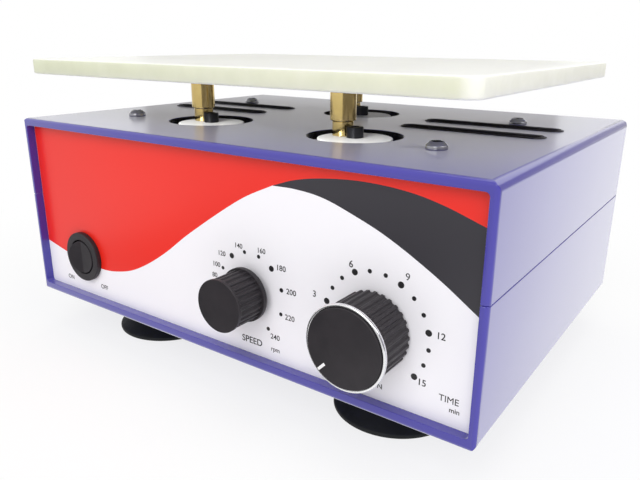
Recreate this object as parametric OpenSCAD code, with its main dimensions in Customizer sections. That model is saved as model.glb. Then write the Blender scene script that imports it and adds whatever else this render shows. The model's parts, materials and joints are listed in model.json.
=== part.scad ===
// Bench-top orbital platform shaker: a flat platform on three eccentric cranks.
// Millimetres, +Z up, the control panel faces -Y.
// The origin lies on the bench, under the middle of the whole object's box.

/* [Case] */
// Width of the case
case_w = 240; // [236:1:280]
// Depth of the case between the fronts of its two lips
case_d = 178; // [172:1:220]
// Height of the case without its feet
case_h = 89.3; // [86:0.1:110]
// Wall at the sides of both shells
wall = 2.8; // [2.4:0.1:3.2]
// Thickness of the top
top_wall = 3.5; // [3:0.1:4]
// Thickness of the floor
floor_wall = 4.3; // [3.8:0.1:4.8]
// Rounding of the long edges of the case
edge_r = 3.5; // [3:0.5:6]
// Rounding of the case's front and rear edges
rim_r = 2; // [1.5:0.1:2.2]
// Rounding of the inner corners at both ends
mouth_r = 1.5; // [1:0.1:2]
// Height of the seam between the shells above the case's underside
seam_h = 51.5; // [46:0.5:56]
// Width and depth of the groove that marks the seam
seam_groove = 0.4; // [0.4:0.1:1]
// Depth of the panel grooves in the walls
groove_in = 1.2; // [0.9:0.1:1.4]
// Depth of the panel faces behind the fronts of the lips
panel_recess = 4; // [3:0.5:5]
// Thickness of the front and rear panels
panel_t = 2; // [1.5:0.5:3]
// Play of the panels in their grooves
panel_clear = 0.15; // [0.1:0.05:0.3]
// Outer diameter of the four corner bosses
boss_d = 11; // [10:0.5:12]
// Distance of the corner bosses from the inner walls at the sides
boss_side = 10; // [8:0.5:12]
// Distance of the corner bosses from the panel backs
boss_end = 11; // [8:0.5:14]

/* [Vents] */
// Width of a vent slot
slot_w = 7.5; // [7:0.5:10]
// Length of a vent slot
slot_l = 63; // [50:1:64]
// Distance of the slots' outer ends from the case's sides
slot_side = 15; // [13:1:17]
// Distance of the rear slots ahead of the rear top screws
slot_ahead = 12; // [11:0.5:13]
// Distance between the front and rear slots
slot_pitch = 24.5; // [16:0.5:26]
// Height of the vent inserts' rims above the top
insert_h = 0.4; // [0.3:0.1:0.8]
// How far those rims reach past the slots
insert_lip = 1; // [0.6:0.1:1.2]
// Wall of the inserts inside the slots
insert_wall = 1.2; // [0.8:0.1:1.4]

/* [Feet] */
// Height of a foot, which lifts the case off the bench
foot_h = 20; // [18:0.5:26]
// Diameter of a foot's rim
foot_d = 52; // [44:1:54]
// Diameter of a foot's neck
foot_neck_d = 30; // [26:1:34]
// Height of the flared part of a foot
foot_flare_h = 12; // [10:0.5:14]
// Thickness of a foot's rim
foot_rim_t = 1.6; // [1:0.2:2.4]
// Width of the ring of the rim that meets the bench
foot_ring_w = 6; // [5:0.5:8]
// Distance of the feet's middles from the case's sides
foot_side = 50.5; // [46:0.5:54]
// Distance of the feet's middles from the case's ends
foot_end = 40.5; // [35:0.5:41]

/* [Screws] */
// Thread diameter of the top, case and foot screws
screw_d = 4; // [3.5:0.5:4]
// Diameter of their pan heads
screw_head_d = 8.2; // [7.6:0.2:8.4]
// Height of their pan heads
screw_head_h = 2.9; // [2.4:0.1:3.4]
// Width of the cross recess in the heads
cross_w = 1; // [0.8:0.1:1.2]
// Depth of the recess in the heads
cross_depth = 1.4; // [1:0.1:1.8]
// Radial clearance of a screw in its hole
screw_clear = 0.2; // [0.1:0.05:0.3]
// Thread diameter of the small screws in the mechanism
small_screw_d = 3; // [2.5:0.5:3]
// Head diameter of the small screws
small_head_d = 5.5; // [5:0.1:6]
// Head height of the small screws
small_head_h = 2; // [1.6:0.2:2.4]
// Distance of the top screws from the case's sides
top_screw_side = 38; // [34:0.5:42]
// Front pair of top screws, ahead of the case's middle
top_screw_front = 50; // [46:0.5:54]
// Rear pair of top screws, behind the case's middle
top_screw_rear = 36.5; // [36:0.5:42]

/* [Cranks] */
// Radius of the circle through the three crank axes
crank_ring_r = 47; // [45:0.5:50]
// Distance of that circle's middle ahead of the case's middle
crank_ahead = 16; // [12:0.5:18]
// Radius of the platform's orbit
orbit_r = 8.25; // [8.25:0.25:9.5]
// Direction of the crank pins at rest, in degrees from +X
crank_phase = 160; // [-180:5:180]
// Diameter of the round holes in the top
hole_d = 40; // [38:1:44]
// Diameter of a crank disc
disc_d = 31; // [30.5:0.5:34]
// Thickness of a crank disc
disc_t = 5; // [4.5:0.5:6]
// How far the discs lie below the top
disc_drop = 0.9; // [0.1:0.1:1.2]
// Diameter of the hub under each disc
hub_d = 16; // [14:0.5:18]
// Diameter of a crank pin
pin_d = 6; // [5:0.5:6]
// Diameter of the brass collar at a pin's foot
collar_d = 9; // [8.4:0.2:9]
// Height of that collar
collar_h = 6; // [5.4:0.2:7]
// Outer diameter of a brass platform bush
bush_d = 11; // [9.5:0.5:12]
// Thread diameter of a disc's centre screw
centre_screw_d = 5; // [4:0.5:5]
// Head diameter of a centre screw
centre_head_d = 7; // [6.5:0.5:7]
// Head height of a centre screw
centre_head_h = 4.5; // [4:0.5:5]
// Width across the flats of its socket
centre_socket = 3.5; // [3:0.5:4]
// Thread length of a centre screw in its spindle
centre_screw_l = 12; // [10:1:16]

/* [Platform] */
// Width of the platform
platform_w = 228; // [180:1:230]
// Depth of the platform
platform_d = 164; // [140:1:180]
// Thickness of the platform
platform_t = 7; // [6:0.5:9]
// Rounding of the platform's corners
platform_r = 6; // [4:0.5:16]
// Height of the platform's underside above the case
platform_gap = 20.6; // [20:0.1:30]
// Distance of the platform's middle, in mid orbit, to the right of the case's middle
platform_right = 2.5; // [0:0.5:5]
// Distance of the platform's middle, in mid orbit, ahead of the case's middle
platform_ahead = 3.5; // [0:0.5:5]
// Diameter of the spigot that seats a bush in the platform
spigot_d = 8; // [7:0.5:8.5]
// Depth of the spigot's blind seat
spigot_seat = 4; // [3:0.5:4]

/* [Mechanism] */
// Length of the spacers that hang the mechanism plate
spacer_l = 18.5; // [18:0.5:22]
// Outer diameter of the spacers
spacer_d = 8; // [7:0.5:9]
// Thickness of the mechanism plate
mech_t = 4; // [3:0.5:5]
// Margin of the mechanism plate round its screws and housings
mech_margin = 10; // [8:0.5:12]
// Outer diameter of a ball bearing
bearing_d = 22; // [19:1:22]
// Bore of a ball bearing
bearing_bore = 8; // [7:0.5:8]
// Width of a ball bearing
bearing_w = 7; // [6:0.5:7]
// Outer diameter of a bearing housing
housing_d = 30; // [28:1:32]
// Height of a housing above its flange
housing_up = 2.5; // [2:0.5:3]
// Length of a housing below the top of the mechanism plate
housing_down = 20; // [16:0.5:22]
// Diameter of a housing's flange
flange_d = 44; // [42:1:46]
// Thickness of a housing's flange
flange_t = 4; // [3:0.5:4]
// Diameter of the head at a spindle's foot
spindle_head_d = 12; // [11:0.5:13]
// Thickness of that head
spindle_head_t = 2.5; // [2:0.5:3]
// Distance of the motor's axis inside the top screws
motor_inside = 22; // [22:0.5:26]
// Diameter of the gear motor
motor_d = 37; // [34:1:37]
// Length of the gear motor
motor_l = 46; // [40:1:48]
// Diameter of the motor's locating boss
motor_boss_d = 12; // [10:0.5:13]
// Diameter of the motor's shaft
motor_shaft_d = 6; // [5:0.5:6]
// Depth of the shaft inside the motor
motor_shaft_in = 8; // [6:1:12]
// Circle of the motor's fixing screws
motor_pcd = 31; // [27:1:31]
// Belt radius on the driven pulley
driven_r = 20; // [18:0.5:20]
// Belt radius on the motor pulley
drive_r = 10; // [9:0.5:11]
// Height of the pulley flanges above the belt's seat
pulley_flange = 2.5; // [2:0.25:2.5]
// Thickness of a pulley flange
pulley_flange_t = 1.2; // [1:0.1:1.4]
// Width of the drive belt
belt_w = 6; // [5:0.5:6]
// Thickness of the drive belt
belt_t = 1.5; // [1.2:0.1:1.8]

/* [Controls] */
// Height of both knobs above the case's underside
knob_z = 31.4; // [30:0.2:33]
// Distance of the timer knob's axis from the case's right side
timer_side = 41; // [38:0.5:44]
// Distance between the axes of the two knobs
knob_pitch = 56.5; // [54:0.5:60]
// Gap between the timer knob and the panel
timer_gap = 0.8; // [0.5:0.1:1.2]
// Gap between the speed knob and the panel
speed_gap = 3; // [2:0.2:3.6]
// Diameter over the flutes of the speed knob
speed_knob_d = 20.4; // [19:0.2:24]
// Height of the speed knob
speed_knob_h = 15.4; // [14:0.2:16]
// How far the rim of the speed knob's face stands out past its flutes
speed_rim_out = 0.3; // [0.1:0.1:0.6]
// How far the speed knob's foot stands out past its flutes
speed_foot_out = 0.8; // [0.5:0.1:1.2]
// Flutes round the speed knob
speed_flutes = 24; // [18:1:30]
// Diameter over the flutes of the timer knob
timer_knob_d = 28.8; // [27:0.2:32]
// Height of the timer knob
timer_knob_h = 18.7; // [17:0.1:20]
// Flutes round the timer knob
timer_flutes = 30; // [24:1:36]
// Depth of a flute
flute_depth = 0.6; // [0.4:0.1:0.8]
// Width of the bright ring on the timer knob
ring_w = 1.2; // [1.2:0.1:2]
// How far the bright ring stands out past the flutes
ring_out = 1; // [0.8:0.1:1.6]
// How far the timer knob's face stands out of the ring
face_out = 0.6; // [0.2:0.1:1]
// Depth of the bright ring
ring_t = 1.6; // [1.2:0.1:2]
// Depth of the hollow that clears each control's bush, from the panel's face
hollow_reach = 6.2; // [5.6:0.2:6.6]
// Diameter of the control shafts
shaft_d = 6; // [5:0.5:6]
// Length of a control shaft inside its knob, past the hollow
shaft_grip = 6; // [5:0.5:7]
// Diameter of the speed control's threaded bush
pot_bush_d = 8; // [7.5:0.5:9]
// Diameter of the speed control's body
pot_d = 24; // [20:1:26]
// Depth of the speed control's body
pot_l = 12; // [10:1:14]
// Diameter of the timer's threaded bush
timer_bush_d = 10; // [9:0.5:12]
// Width and height of the timer's body
timer_body_w = 40; // [36:1:42]
// Depth of the timer's body
timer_body_l = 28; // [22:1:30]
// How far the threaded bushes stand out of the panel
bush_out = 4; // [3.5:0.5:4.5]
// Thickness of the fixing nuts
nut_t = 2.4; // [2:0.2:2.8]
// Wall of the fixing nuts round the bushes
nut_wall = 2.4; // [2:0.2:2.6]

/* [Switch] */
// Distance of the switch's axis from the case's left side
switch_side = 34; // [32:0.5:40]
// Height of the switch above the case's underside
switch_z = 23.8; // [22:0.1:26]
// Diameter of the switch's bezel
bezel_d = 24.5; // [22:0.5:26]
// Thickness of the bezel
bezel_t = 2.5; // [2:0.25:3]
// Diameter of the switch's barrel
barrel_d = 20; // [19:0.5:20.5]
// Wall of the barrel
barrel_wall = 1.4; // [1.2:0.1:1.6]
// Depth of the barrel behind the panel
barrel_l = 17; // [15:1:20]
// Distance of the rocker's axis behind the bezel's front
rocker_back = 2.2; // [2:0.1:2.6]
// Height of the rocker's valley in front of its axis
rocker_face = 2.4; // [2:0.1:2.6]
// Tilt of the rocker each way
rocker_tilt = 10; // [8:1:12]
// Diameter of the rocker's trunnions
trunnion_d = 2.4; // [2:0.1:2.6]

/* [Rear] */
// Distance of the mains inlet's middle from the case's side
inlet_side = 54; // [48:1:58]
// Height of the inlet and the fuse holder above the case's underside
inlet_z = 36; // [34:1:40]
// Width of the inlet's flange
inlet_w = 31; // [30:0.5:33]
// Height of the inlet's flange
inlet_h = 24; // [23:0.5:26]
// Thickness of the inlet's flange
inlet_flange_t = 2.5; // [2:0.5:3]
// Width of the inlet's socket
socket_w = 24.4; // [24:0.1:25]
// Height of the inlet's socket
socket_h = 16.6; // [16.4:0.1:17]
// Depth of the inlet's socket
socket_depth = 18; // [16:0.5:19]
// Wall of the inlet's body round the socket
inlet_wall = 1.4; // [1.2:0.1:1.6]
// Length of the contact blades in the socket
blade_l = 11.5; // [10:0.5:12]
// Distance between the inlet and the fuse holder
fuse_pitch = 40; // [34:1:44]
// Diameter of the fuse holder's body
fuse_d = 12; // [11:0.5:13]
// Depth of the fuse holder behind the panel
fuse_l = 28; // [24:1:30]
// Diameter of the fuse holder's cap
fuse_cap_d = 14; // [13.5:0.5:16]
// How far the cap stands out of the rear panel
fuse_cap_h = 9; // [8:0.5:12]

/* [Electrics] */
// Width of the control board
board_w = 76; // [60:1:78]
// Depth of the control board
board_d = 66; // [58:1:70]
// Thickness of the control board
board_t = 1.6; // [1.2:0.2:2]
// Height of the standoffs under the board
standoff_h = 8; // [6:0.5:10]
// Gap between the board and the transformer's feet
board_gap = 2; // [1:0.5:4]
// Gap between the transformer's feet and the case's side wall
trafo_gap = 8.5; // [6:0.5:10]
// Length of the transformer's feet
trafo_foot = 8; // [6:0.5:9]
// Width of the transformer's core
trafo_w = 50; // [44:1:52]
// Depth of the transformer's core
trafo_d = 34; // [30:1:36]
// Height of the transformer's core
trafo_h = 42; // [36:1:44]

/* [Clearances] */
// Radial clearance of a turning shaft, pin or bush
run_clear = 0.05; // [0.03:0.01:0.08]
// Radial clearance of a piece pressed or glued in its seat
seat_clear = 0.02; // [0.01:0.01:0.03]
// End clearance between pieces that turn past each other
end_clear = 0.3; // [0.2:0.05:0.4]
// Clearance between the resting belt and its pulleys
belt_clear = 0.25; // [0.2:0.05:0.4]

/* [Hidden] */
$fn = 64;

case_blue = [0.33, 0.30, 0.66];
panel_white = [0.94, 0.93, 0.95];
platform_cream = [0.90, 0.91, 0.83];
rubber_black = [0.09, 0.10, 0.11];
plastic_black = [0.16, 0.15, 0.16];
acetal_white = [0.93, 0.93, 0.91];
brass_gold = [0.80, 0.62, 0.26];
steel_grey = [0.70, 0.71, 0.73];
dark_steel = [0.14, 0.14, 0.15];
board_green = [0.10, 0.38, 0.22];

// Overlap that makes two solids one, and the overshoot of a cut
join = 0.5;
over = 1;

// The case's main planes
front_y = -case_d / 2;
panel_y = front_y + panel_recess;
panel_back = panel_y + panel_t;
groove_t = panel_t + panel_clear;
top_z = foot_h + case_h;
ceiling_z = top_z - top_wall;
floor_z = foot_h + floor_wall;
seam_z = foot_h + seam_h;

// Places of the pieces that keep to the case's sides and ends
foot_x = case_w / 2 - foot_side;
foot_y = case_d / 2 - foot_end;
slot_x = case_w / 2 - slot_side - slot_l / 2;
slot_rear_y = top_screw_rear - slot_ahead;
top_screw_x = case_w / 2 - top_screw_side;
motor_away = top_screw_x - motor_inside;
timer_x = case_w / 2 - timer_side;
speed_x = timer_x - knob_pitch;
switch_left = case_w / 2 - switch_side;
inlet_left = case_w / 2 - inlet_side;
fuse_left = inlet_left - fuse_pitch;
trafo_x = wall + trafo_gap + trafo_foot + trafo_w / 2 - case_w / 2;
board_x = trafo_x + trafo_w / 2 + trafo_foot + board_gap + board_w / 2;

// The whole object's box is centred on the origin by shifting the case back
front_reach = max(timer_gap + timer_knob_h, speed_gap + speed_knob_h) - panel_recess;
rear_reach = fuse_cap_h - panel_recess;
case_y = (front_reach - rear_reach) / 2;

// The mechanism hangs from the ceiling
mech_top = ceiling_z - spacer_l;
mech_bottom = mech_top - mech_t;
housing_top = mech_top + flange_t + housing_up;
housing_bottom = mech_top - housing_down;
disc_top = top_z - disc_drop;
disc_bottom = disc_top - disc_t;
hub_bottom = housing_top + end_clear;
pulley_h = belt_w + 2 * (belt_clear + pulley_flange_t);
pulley_bottom = disc_bottom - pulley_h;
spindle_d = bearing_bore - 2 * run_clear;
spindle_in_disc = 1.2;
pin_floor = disc_bottom + 1;
spindle_top = disc_bottom + spindle_in_disc;
platform_z = top_z + platform_gap;
collar_top = disc_top + collar_h;
bush_bottom = collar_top + end_clear;
bush_roof = 2;
bush_bore_top = platform_z - bush_roof;
housing_screw_r = (housing_d + flange_d) / 4;

// Crank axes, as angles round the crank circle, and the pins' offset at rest
left_angle = 210;
right_angle = 330;
rear_angle = 90;
crank_angles = [left_angle, right_angle, rear_angle];
function crank_at(angle) = [crank_ring_r * cos(angle), crank_ring_r * sin(angle) - crank_ahead];
pin_offset = orbit_r * [cos(crank_phase), sin(crank_phase)];
rear_axis = crank_at(rear_angle);
motor_axis = rear_axis + [motor_away, 0];

// Corner bosses and their screws
boss_x = case_w / 2 - wall - boss_side;
boss_y = -panel_back - boss_end;
boss_seat = 12;
case_screw_grip = 14;
foot_boss_h = 6;
foot_seat_z = 6;
foot_boss_d = 10;

// Control axes
knob_height = foot_h + knob_z;
speed_y = panel_y - speed_gap;
timer_y = panel_y - timer_gap;
hollow_y = panel_y - hollow_reach;
shaft_end_y = hollow_y - shaft_grip;
rocker_axis_y = panel_y - bezel_t + rocker_back;
rocker_r = barrel_d / 2 - barrel_wall - end_clear;

// Draws children at the case's place
module at_case() {
  translate([0, case_y, 0]) children();
}

module at_xy(points) {
  for (p = points) {
    translate([p[0], p[1], 0]) children();
  }
}

// Diameter of a threaded hole, drawn plain
function tapped(d) = d + 2 * seat_clear;

function mirrored_xy(x, y) = [for (sx = [-1, 1], sy = [-1, 1]) [sx * x, sy * y]];

top_screw_points = [
  for (sx = [-1, 1], y = [-top_screw_front, top_screw_rear]) [sx * top_screw_x, y]
];
slot_points = [
  for (sx = [-1, 1], y = [slot_rear_y - slot_pitch, slot_rear_y]) [sx * slot_x, y]
];
foot_points = mirrored_xy(foot_x, foot_y);
boss_points = mirrored_xy(boss_x, boss_y);
crank_points = [for (a = crank_angles) crank_at(a)];
pin_points = [for (p = crank_points) p + pin_offset];
housing_screw_points = [
  for (p = crank_points, a = [30, 150, 270]) p + housing_screw_r * [cos(a), sin(a)]
];
motor_screw_points = [for (a = [45:90:315]) motor_axis + motor_pcd / 2 * [cos(a), sin(a)]];

// Upright cylinder between two heights
module post(d, z0, z1) {
  translate([0, 0, z0]) cylinder(d = d, h = z1 - z0);
}

// Upright tube between two heights
module tube(d, bore, z0, z1) {
  difference() {
    post(d, z0, z1);
    post(bore, z0 - over, z1 + over);
  }
}

// Cylinder along Y between two depths
module rod_y(d, y0, y1) {
  translate([0, y0, 0]) rotate([-90, 0, 0]) cylinder(d = d, h = y1 - y0);
}

// Extrudes an X-Z outline along Y
module along_y(y0, y1) {
  translate([0, y1, 0]) rotate([90, 0, 0]) linear_extrude(y1 - y0) children();
}

// Extrudes a Y-Z outline along X
module along_x(x0, x1) {
  translate([x0, 0, 0]) rotate([90, 0, 90]) linear_extrude(x1 - x0) children();
}

// Rectangle with round corners, centred across, standing on its base line
module rounded_rect(w, h, r) {
  translate([-w / 2, r]) square([w, h - 2 * r]);
  translate([-w / 2 + r, 0]) square([w - 2 * r, h]);
  for (sx = [-1, 1], y = [r, h - r]) {
    translate([sx * (w / 2 - r), y]) circle(r);
  }
}

module slot_outline(l, w) {
  square([l - w, w], center = true);
  for (sx = [-1, 1]) {
    translate([sx * (l - w) / 2, 0]) circle(d = w);
  }
}

// Pan-head screw, head up, its seat at z = 0
module pan_screw(l) {
  difference() {
    union() {
      post(screw_d, -l, join);
      cylinder(d = screw_head_d, h = screw_head_h * 0.5);
      translate([0, 0, screw_head_h * 0.5])
        cylinder(d1 = screw_head_d, d2 = screw_head_d * 0.62, h = screw_head_h * 0.5);
    }
    for (turn = [0, 90]) {
      rotate(turn) translate([0, 0, screw_head_h])
        cube([screw_head_d * 0.5, cross_w, 2 * cross_depth], center = true);
    }
  }
}

// Socket-head screw of the mechanism, its seat at z = 0
module small_screw(l) {
  difference() {
    union() {
      post(small_screw_d, -l, join);
      cylinder(d = small_head_d, h = small_head_h);
    }
    translate([0, 0, small_head_h / 2]) cylinder(d = small_head_d / 2, h = small_head_h, $fn = 6);
  }
}

// Case
module mouth_outline(grow) {
  translate([0, floor_z - grow])
    rounded_rect(case_w - 2 * wall + 2 * grow, ceiling_z - floor_z + 2 * grow, mouth_r + grow);
}

module plan_outline(inset) {
  translate([0, front_y + inset])
    rounded_rect(case_w - 2 * inset, case_d - 2 * inset, rim_r - inset);
}

module case_tube() {
  difference() {
    intersection() {
      along_y(front_y, -front_y) translate([0, foot_h]) rounded_rect(case_w, case_h, edge_r);
      along_x(-case_w / 2, case_w / 2) translate([0, foot_h]) rounded_rect(case_d, case_h, rim_r);
      translate([0, 0, foot_h]) linear_extrude(case_h) plan_outline(0);
    }
    along_y(front_y - over, over - front_y) mouth_outline(0);
    along_y(panel_y, panel_y + groove_t) mouth_outline(groove_in);
    along_y(-panel_y - groove_t, -panel_y) mouth_outline(groove_in);
  }
}

module case_half(z0, h) {
  intersection() {
    case_tube();
    translate([-case_w, -case_d, z0]) cube([2 * case_w, 2 * case_d, h]);
  }
}

module top_shell() {
  at_case() color(case_blue) difference() {
    union() {
      case_half(seam_z, case_h);
      at_xy(boss_points) post(boss_d, seam_z, ceiling_z + join);
    }
    at_xy(boss_points) post(tapped(screw_d), seam_z - over, seam_z + case_screw_grip + over);
    at_xy(top_screw_points) post(screw_d + 2 * screw_clear, ceiling_z - over, top_z + over);
    at_xy(crank_points) post(hole_d, ceiling_z - over, top_z + over);
    at_xy(slot_points) translate([0, 0, ceiling_z - over]) linear_extrude(top_wall + 2 * over)
      slot_outline(slot_l, slot_w);
  }
}

module bottom_shell() {
  at_case() color(case_blue) difference() {
    union() {
      case_half(foot_h - over, seam_h + over);
      at_xy(boss_points) post(boss_d, floor_z - join, seam_z);
      at_xy(foot_points) post(foot_boss_d, floor_z - join, floor_z + foot_boss_h);
    }
    translate([0, 0, seam_z - seam_groove]) linear_extrude(seam_groove + over) difference() {
      square([2 * case_w, 2 * case_d], center = true);
      plan_outline(seam_groove);
    }
    at_xy(boss_points) post(screw_d + 2 * screw_clear, foot_h - over, seam_z + over);
    at_xy(boss_points) post(screw_head_d + 2 * screw_clear, foot_h - over, seam_z - boss_seat);
    at_xy(foot_points) post(tapped(screw_d), foot_h - over, floor_z + foot_boss_h - over);
  }
}

// Black grommets in the vent slots
module vent_inserts() {
  at_case() color(plastic_black) at_xy(slot_points) difference() {
    union() {
      translate([0, 0, ceiling_z]) linear_extrude(top_wall + join)
        slot_outline(slot_l - 2 * seat_clear, slot_w - 2 * seat_clear);
      translate([0, 0, top_z]) linear_extrude(insert_h)
        slot_outline(slot_l + 2 * insert_lip, slot_w + 2 * insert_lip);
    }
    translate([0, 0, ceiling_z - over]) linear_extrude(top_wall + insert_h + 2 * over)
      slot_outline(slot_l - 2 * insert_wall, slot_w - 2 * insert_wall);
  }
}

module case_screws() {
  at_case() color(steel_grey) at_xy(boss_points)
    translate([0, 0, seam_z - boss_seat]) mirror([0, 0, 1]) pan_screw(boss_seat + case_screw_grip);
}

module top_screws() {
  at_case() color(steel_grey) at_xy(top_screw_points)
    translate([0, 0, top_z]) pan_screw(top_z - mech_bottom);
}

module panel_outline() {
  mouth_outline(groove_in - panel_clear);
}

module front_panel() {
  at_case() color(panel_white) difference() {
    along_y(panel_y, panel_back) panel_outline();
    translate([-switch_left, 0, foot_h + switch_z])
      rod_y(barrel_d + 2 * screw_clear, panel_y - over, panel_back + over);
    translate([speed_x, 0, knob_height])
      rod_y(pot_bush_d + 2 * screw_clear, panel_y - over, panel_back + over);
    translate([timer_x, 0, knob_height])
      rod_y(timer_bush_d + 2 * screw_clear, panel_y - over, panel_back + over);
  }
}

module rear_panel() {
  cutout_w = socket_w + 2 * inlet_wall + 2 * screw_clear;
  cutout_h = socket_h + 2 * inlet_wall + 2 * screw_clear;
  at_case() color(panel_white) difference() {
    along_y(-panel_back, -panel_y) panel_outline();
    translate([-inlet_left - cutout_w / 2, -panel_back - over, foot_h + inlet_z - cutout_h / 2])
      cube([cutout_w, panel_t + 2 * over, cutout_h]);
    translate([-fuse_left, 0, foot_h + inlet_z])
      rod_y(fuse_d + 2 * screw_clear, -panel_back - over, -panel_y + over);
  }
}

// Feet
module foot(sx, sy) {
  rim_r = foot_d / 2;
  neck_r = foot_neck_d / 2;
  bore_r = screw_d / 2 + screw_clear;
  head_r = screw_head_d / 2 + 1;
  steps = 6;
  flare = [
    for (i = [0:steps])
      let (t = i / steps) [neck_r + (rim_r - neck_r) * (1 - t) ^ 2, foot_rim_t + foot_flare_h * t]
  ];
  outline = concat(
    [[bore_r, foot_seat_z], [head_r, foot_seat_z], [rim_r - foot_ring_w, 0], [rim_r, 0]],
    flare,
    [[neck_r, foot_h], [bore_r, foot_h]]
  );
  at_case() color(rubber_black) translate([sx * foot_x, sy * foot_y, 0])
    rotate_extrude() polygon(outline);
}

module foot_screws() {
  grip = foot_h - foot_seat_z + floor_wall + foot_boss_h - 2 * over;
  at_case() color(steel_grey) at_xy(foot_points)
    translate([0, 0, foot_seat_z]) mirror([0, 0, 1]) pan_screw(grip);
}

// Mechanism
module mechanism_plate() {
  plate_w = 2 * (top_screw_x + mech_margin);
  plate_front = -top_screw_front - mech_margin;
  plate_rear = max(top_screw_rear, rear_axis[1] + flange_d / 2 - mech_margin / 2) + mech_margin;
  at_case() color(steel_grey) difference() {
    translate([0, plate_front, mech_bottom]) linear_extrude(mech_t)
      rounded_rect(plate_w, plate_rear - plate_front, mech_margin / 2);
    at_xy(top_screw_points) post(tapped(screw_d), mech_bottom - over, mech_top + over);
    at_xy(crank_points) post(housing_d + 2 * screw_clear, mech_bottom - over, mech_top + over);
    at_xy(housing_screw_points) post(tapped(small_screw_d), mech_bottom - over, mech_top + over);
    at_xy([motor_axis]) post(motor_boss_d + 2 * screw_clear, mech_bottom - over, mech_top + over);
    at_xy(motor_screw_points)
      post(small_screw_d + 2 * screw_clear, mech_bottom - over, mech_top + over);
  }
}

module plate_spacers() {
  at_case() color(steel_grey) at_xy(top_screw_points)
    tube(spacer_d, screw_d + 2 * screw_clear, mech_top, ceiling_z);
}

module bearing_housing(angle) {
  screw_points = [for (a = [30, 150, 270]) housing_screw_r * [cos(a), sin(a)]];
  seat_d = bearing_d + 2 * seat_clear;
  shoulder_d = bearing_d - 5;
  at_case() color(steel_grey) at_xy([crank_at(angle)]) difference() {
    union() {
      post(housing_d, housing_bottom, housing_top);
      post(flange_d, mech_top, mech_top + flange_t);
    }
    post(shoulder_d, housing_bottom - over, housing_top + over);
    post(seat_d, housing_top - bearing_w, housing_top + over);
    post(seat_d, housing_bottom - over, housing_bottom + bearing_w);
    at_xy(screw_points)
      post(small_screw_d + 2 * screw_clear, mech_top - over, mech_top + flange_t + over);
  }
}

module ball_bearings() {
  shield_in = bearing_bore / 2 + 1.6;
  shield_out = bearing_d / 2 - 1.6;
  shield_depth = 0.4;
  at_case() color(steel_grey) at_xy(crank_points)
    for (z = [housing_bottom, housing_top - bearing_w]) {
      difference() {
        tube(bearing_d, bearing_bore, z, z + bearing_w);
        tube(2 * shield_out, 2 * shield_in, z - over, z + shield_depth);
        tube(2 * shield_out, 2 * shield_in, z + bearing_w - shield_depth, z + bearing_w + over);
      }
    }
}

module housing_screws() {
  at_case() color(dark_steel) at_xy(housing_screw_points)
    translate([0, 0, mech_top + flange_t]) small_screw(flange_t + mech_t);
}

module gear_motor() {
  gear_l = motor_l * 0.45;
  at_case() color(steel_grey) at_xy([motor_axis]) difference() {
    union() {
      post(motor_d, mech_bottom - gear_l, mech_bottom);
      post(motor_d - 3, mech_bottom - motor_l, mech_bottom - gear_l + join);
      post(motor_boss_d, mech_bottom - join, mech_top);
    }
    post(motor_shaft_d + 2 * run_clear, mech_bottom - motor_shaft_in, mech_top + over);
    at_xy([for (p = motor_screw_points) p - motor_axis])
      post(tapped(small_screw_d), mech_bottom - 2 * mech_t, mech_bottom + over);
  }
}

module motor_screws() {
  at_case() color(dark_steel) at_xy(motor_screw_points)
    translate([0, 0, mech_top]) small_screw(2 * mech_t);
}

module motor_shaft() {
  at_case() color(steel_grey) at_xy([motor_axis])
    post(motor_shaft_d, mech_bottom - motor_shaft_in + end_clear, pulley_bottom + pulley_h);
}

// Flanged belt pulley round a bore, its underside at the pulleys' height
module belt_pulley(belt_r, bore) {
  rim_r = belt_r + pulley_flange;
  outline = [
    [bore / 2, 0], [rim_r, 0], [rim_r, pulley_flange_t], [belt_r, pulley_flange_t],
    [belt_r, pulley_h - pulley_flange_t], [rim_r, pulley_h - pulley_flange_t],
    [rim_r, pulley_h], [bore / 2, pulley_h]
  ];
  translate([0, 0, pulley_bottom]) rotate_extrude() polygon(outline);
}

module motor_pulley() {
  at_case() color(steel_grey) at_xy([motor_axis])
    belt_pulley(drive_r, motor_shaft_d + 2 * seat_clear);
}

module driven_pulley() {
  at_case() color(acetal_white) at_xy([rear_axis]) belt_pulley(driven_r, hub_d + 2 * seat_clear);
}

// Outline of a belt's run round both pulleys, grown by a margin
module belt_outline(margin) {
  r1 = driven_r + margin;
  r2 = drive_r + margin;
  wrap = acos((r1 - r2) / motor_away);
  circle(r1);
  translate([motor_away, 0]) circle(r2);
  polygon([
    r1 * [cos(wrap), -sin(wrap)],
    [motor_away, 0] + r2 * [cos(wrap), -sin(wrap)],
    [motor_away, 0] + r2 * [cos(wrap), sin(wrap)],
    r1 * [cos(wrap), sin(wrap)]
  ]);
}

module drive_belt() {
  at_case() color(rubber_black) at_xy([rear_axis])
    translate([0, 0, pulley_bottom + pulley_flange_t + belt_clear]) linear_extrude(belt_w)
      difference() {
        belt_outline(belt_clear + belt_t);
        belt_outline(belt_clear);
      }
}

// Cranks
module spindle(angle) {
  head_top = housing_bottom - end_clear;
  at_case() color(steel_grey) at_xy([crank_at(angle)]) difference() {
    union() {
      post(spindle_d, head_top - join, spindle_top);
      post(spindle_head_d, head_top - spindle_head_t, head_top);
    }
    post(tapped(centre_screw_d), spindle_top - centre_screw_l - over, spindle_top + over);
  }
}

module crank_disc(angle) {
  at_case() color(acetal_white) at_xy([crank_at(angle)]) difference() {
    union() {
      post(disc_d, disc_bottom, disc_top);
      post(hub_d, hub_bottom, disc_bottom + join);
    }
    post(spindle_d + 2 * seat_clear, hub_bottom - over, spindle_top);
    post(centre_screw_d + 2 * screw_clear, disc_bottom, disc_top + over);
    at_xy([pin_offset]) post(pin_d + 2 * seat_clear, pin_floor, disc_top + over);
  }
}

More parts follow.
